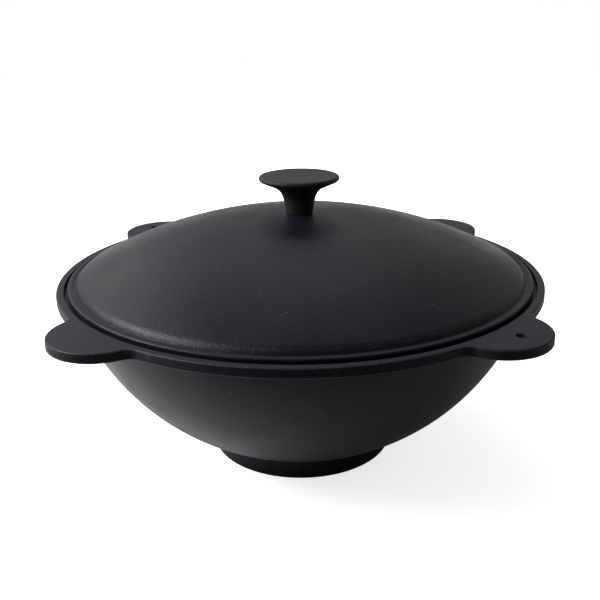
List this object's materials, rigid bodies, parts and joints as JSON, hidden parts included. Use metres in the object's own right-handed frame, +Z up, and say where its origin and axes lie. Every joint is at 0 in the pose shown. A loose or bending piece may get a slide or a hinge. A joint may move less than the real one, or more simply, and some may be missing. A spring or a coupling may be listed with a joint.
{
  "type": "cast iron wok with lid",
  "caption": "Round-bottomed cast iron wok on a flat foot, with flush ears in the plane of its rim, and a domed lid with a mushroom knob that drops into a rebate in the rim.",
  "frame": {"origin": "centre of the flat foot, on the surface that the wok stands on", "axes": "+Z up along the axis of the bowl, +X through the centre of one pierced ear, +Y through the centre of one plain ear"},
  "size_m": [0.4398, 0.4398, 0.2239],
  "materials": {
    "pan_iron": "black seasoned casting, fine pebbled grain, rim band ground",
    "lid_iron": "black seasoned casting, fine pebbled grain",
    "knob_iron": "black seasoned casting, smoother on top",
    "screw_steel": "plain steel fastener"
  },
  "bodies": {
    "root": {"wok_pan": "pan_iron", "lid": "lid_iron", "lid_knob": "knob_iron", "knob_screw": "screw_steel", "knob_washer": "screw_steel"}
  },
  "joints": []
}
